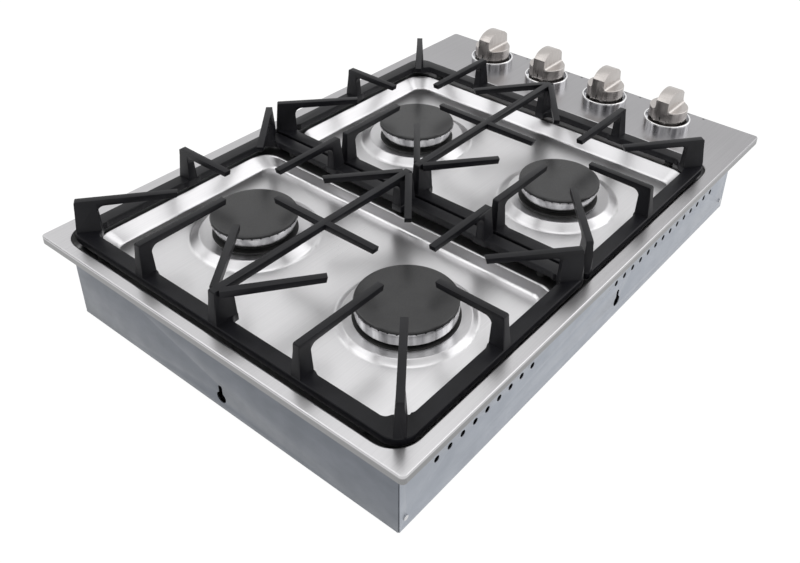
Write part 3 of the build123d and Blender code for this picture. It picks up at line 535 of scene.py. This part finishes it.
# ---------------------------------------------------------------- threaded inlet
axis_x, axis_z = 0.3282, 0.050
pipe_start, pipe_middle, pipe_inner, pipe_outer, root_share = 0.2492, 0.256, 0.0095, 0.0107, 0.91
thread_start, thread_pitch, thread_turns, thread_steps = 0.2503, 0.0018, 6, 36
crest_r, crest_path_r = 0.00065, 0.00982

# the plain end of the pipe goes down to the root of the thread
inlet = eased("manifold", width=0.0003, steps=2)
only(inlet)
bpy.ops.object.mode_set(mode="EDIT")
pick(
    inlet, "VERT",
    lambda at: at.y > pipe_start and pipe_inner < hypot(at.x - axis_x, at.z - axis_z) < pipe_outer,
)
bpy.ops.transform.resize(value=(root_share, 1, root_share), center_override=(axis_x, pipe_middle, axis_z))
bpy.ops.object.mode_set(mode="OBJECT")

# a six-sided wire wound round it is the thread's crest
bpy.ops.object.select_all(action="DESELECT")
bpy.ops.mesh.primitive_circle_add(
    vertices=6, radius=crest_r, fill_type="NOTHING", location=(crest_path_r, 0, 0)
)
thread = bpy.context.object
thread.name = "inlet_thread"
settle()
turns = thread.modifiers.new("turns", "SCREW")
turns.axis = "Y"
turns.screw_offset = thread_pitch
turns.iterations = thread_turns
turns.steps = turns.render_steps = thread_steps
turns.use_merge_vertices = True
bpy.ops.object.modifier_apply(modifier="turns")
bpy.ops.object.mode_set(mode="EDIT")
bpy.ops.mesh.select_all(action="SELECT")
bpy.ops.transform.translate(value=(axis_x, thread_start, axis_z))
bpy.ops.mesh.edge_face_add()
bpy.ops.mesh.normals_make_consistent(inside=False)
bpy.ops.object.mode_set(mode="OBJECT")
bpy.ops.object.shade_smooth_by_angle(angle=radians(50))
dress(thread, drawn)
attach(thread, "chassis")


# ---------------------------------------------------------------- printed marks and knob pointers
plate_z, ink_depth, ring_width = 0.11205, 0.00004, 0.0005


def printed(name, places):
    """ink on the plate: each place is x, y, radius, and whether it is a ring"""
    made = []
    for x, y, radius, ring in places:
        bpy.ops.object.select_all(action="DESELECT")
        bpy.ops.mesh.primitive_circle_add(
            vertices=24, radius=radius, fill_type="NGON", location=(x, y, plate_z)
        )
        spot = bpy.context.object
        settle()
        bpy.ops.object.mode_set(mode="EDIT")
        bpy.ops.mesh.select_all(action="SELECT")
        if ring:
            bpy.ops.mesh.inset(thickness=ring_width)
            bpy.ops.mesh.delete(type="FACE")
        else:
            bpy.ops.mesh.inset(thickness=radius / 5, depth=ink_depth)
        bpy.ops.object.mode_set(mode="OBJECT")
        if ring:
            body = spot.modifiers.new("body", "SOLIDIFY")
            body.thickness = ink_depth
            body.offset = 1
            bpy.ops.object.modifier_apply(modifier="body")
        made.append(spot)
    marks = made[0]
    for spot in made[1:]:
        only(marks)
        spot.select_set(True)
        bpy.ops.object.join()
    marks.name = name
    dress(marks, ink)
    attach(marks, "chassis")


# beside each knob, how far in front of its axis: a dot, a small dot, and a ring with a dot in it
mark_x = 0.3768
knob_marks = [(0.011, 0.0012, False), (0.0135, 0.0006, False), (0.035, 0.0016, True), (0.035, 0.0005, False)]
places = [(mark_x, y - ahead, radius, ring) for y in knob_ys for ahead, radius, ring in knob_marks]
printed("plate_marks", places)

pointer_x, pointer_z, pointer_mm, pointer_round = 0.3017, 0.1305, (0.6, 1.2, 6.0), 0.00015
for name, y in zip(knob_names, knob_ys):
    bpy.ops.object.select_all(action="DESELECT")
    bpy.ops.mesh.primitive_cube_add(size=MM, location=(pointer_x, y, pointer_z))
    pointer = bpy.context.object
    pointer.name = "pointer_" + name
    pointer.scale = pointer_mm
    settle()
    rounded = pointer.modifiers.new("rounded", "BEVEL")
    rounded.width = pointer_round
    rounded.segments = 2
    bpy.ops.object.modifier_apply(modifier="rounded")
    dress(pointer, ink)
    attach(pointer, "knob_" + name)


# ---------------------------------------------------------------- floor and surround
paper_tone, paper_rough, paper_glow, glow_share = 0.82, 0.9, 1.05, 0.93
surround_light, surround_seen = 0.75, 1.0


def seen_directly(tree, seen):
    """1 for camera, mirror and transmitted rays, which show the white surround, and 0 for light"""
    total = seen.outputs["Is Camera Ray"]
    for kind in ("Is Glossy Ray", "Is Transmission Ray"):
        larger = tree.nodes.new("ShaderNodeMath")
        larger.operation = "MAXIMUM"
        tree.links.new(total, larger.inputs[0])
        tree.links.new(seen.outputs[kind], larger.inputs[1])
        total = larger.outputs[0]
    return total


def paper(name):
    """pale floor that still shows the object's shadow"""
    material, tree, shader, _ = new_finish(name)
    shader.inputs["Base Color"].default_value = (*grey(paper_tone), 1)
    shader.inputs["Roughness"].default_value = paper_rough
    seen = tree.nodes.new("ShaderNodeLightPath")
    glow = tree.nodes.new("ShaderNodeEmission")
    glow.inputs["Color"].default_value = (1, 1, 1, 1)
    glow.inputs["Strength"].default_value = paper_glow
    share = tree.nodes.new("ShaderNodeMath")
    share.operation = "MULTIPLY"
    share.inputs[1].default_value = glow_share
    tree.links.new(seen_directly(tree, seen), share.inputs[0])
    blend = tree.nodes.new("ShaderNodeMixShader")
    tree.links.new(share.outputs[0], blend.inputs["Fac"])
    tree.links.new(shader.outputs["BSDF"], blend.inputs[1])
    tree.links.new(glow.outputs["Emission"], blend.inputs[2])
    tree.links.new(blend.outputs["Shader"], tree.nodes["Material Output"].inputs["Surface"])
    return material


bpy.ops.mesh.primitive_plane_add(size=12.0, location=(0, 0, -0.0005))
floor = bpy.context.object
floor.name = "studio_floor"
dress(floor, paper("studio_paper"))

world = bpy.data.worlds.new("studio_world")
scene.world = world
world.use_nodes = True
sky = world.node_tree
surround = sky.nodes["Background"]
path = sky.nodes.new("ShaderNodeLightPath")
level = sky.nodes.new("ShaderNodeMapRange")
level.inputs["To Min"].default_value = surround_light
level.inputs["To Max"].default_value = surround_seen
sky.links.new(seen_directly(sky, path), level.inputs["Value"])
sky.links.new(level.outputs["Result"], surround.inputs["Strength"])
surround.inputs["Color"].default_value = (1, 1, 1, 1)


# ---------------------------------------------------------------- lamps, card and camera
lamp_aim = Vector((0, 0, 0.1))


def softbox(name, place, size, power):
    """a square area lamp pointed at the object"""
    direction = lamp_aim - Vector(place)
    turn = direction.to_track_quat("-Z", "Y").to_euler()
    bpy.ops.object.light_add(type="AREA", location=place, rotation=turn)
    lamp = bpy.context.object
    lamp.name = name
    lamp.data.size = size
    lamp.data.energy = power


softbox("top_softbox", (0.2, 0.3, 1.9), size=1.5, power=3.0)
softbox("key_softbox", (1.24, -0.97, 1.33), size=1.7, power=10.2)
softbox("left_softbox", (-0.94, 1.12, 1.46), size=1.6, power=7)

# a dark card behind the left of the object, out of the picture, gives the bright metal something to mirror
card_place, card_wide, card_high = Vector((-1.1, 1.0, 0.42)), 1.5, 0.62
card_turn = (Vector((0, 0, 0.2)) - card_place).to_track_quat("Z", "Y").to_euler()
bpy.ops.mesh.primitive_grid_add(
    x_subdivisions=4, y_subdivisions=4, size=1, location=card_place, rotation=card_turn
)
card = bpy.context.object
card.name = "dark_card"
card.scale = (card_wide, card_high, 1)
settle()
dress(card, ink)
card.visible_camera = False

# the camera stands where the photograph was taken from; its shift follows the crop
bpy.ops.object.camera_add(
    location=(-0.76805, -0.59378, 0.72691), rotation=(radians(57.008), radians(-1.989), radians(-52.312))
)
camera = bpy.context.object
camera.name = "photo_camera"
camera.data.lens = 41.15
camera.data.sensor_width = 36.0
camera.data.shift_x = -0.0697
camera.data.shift_y = -0.1132
camera.data.clip_start = 0.01
scene.camera = camera
scene.view_settings.view_transform = "Standard"
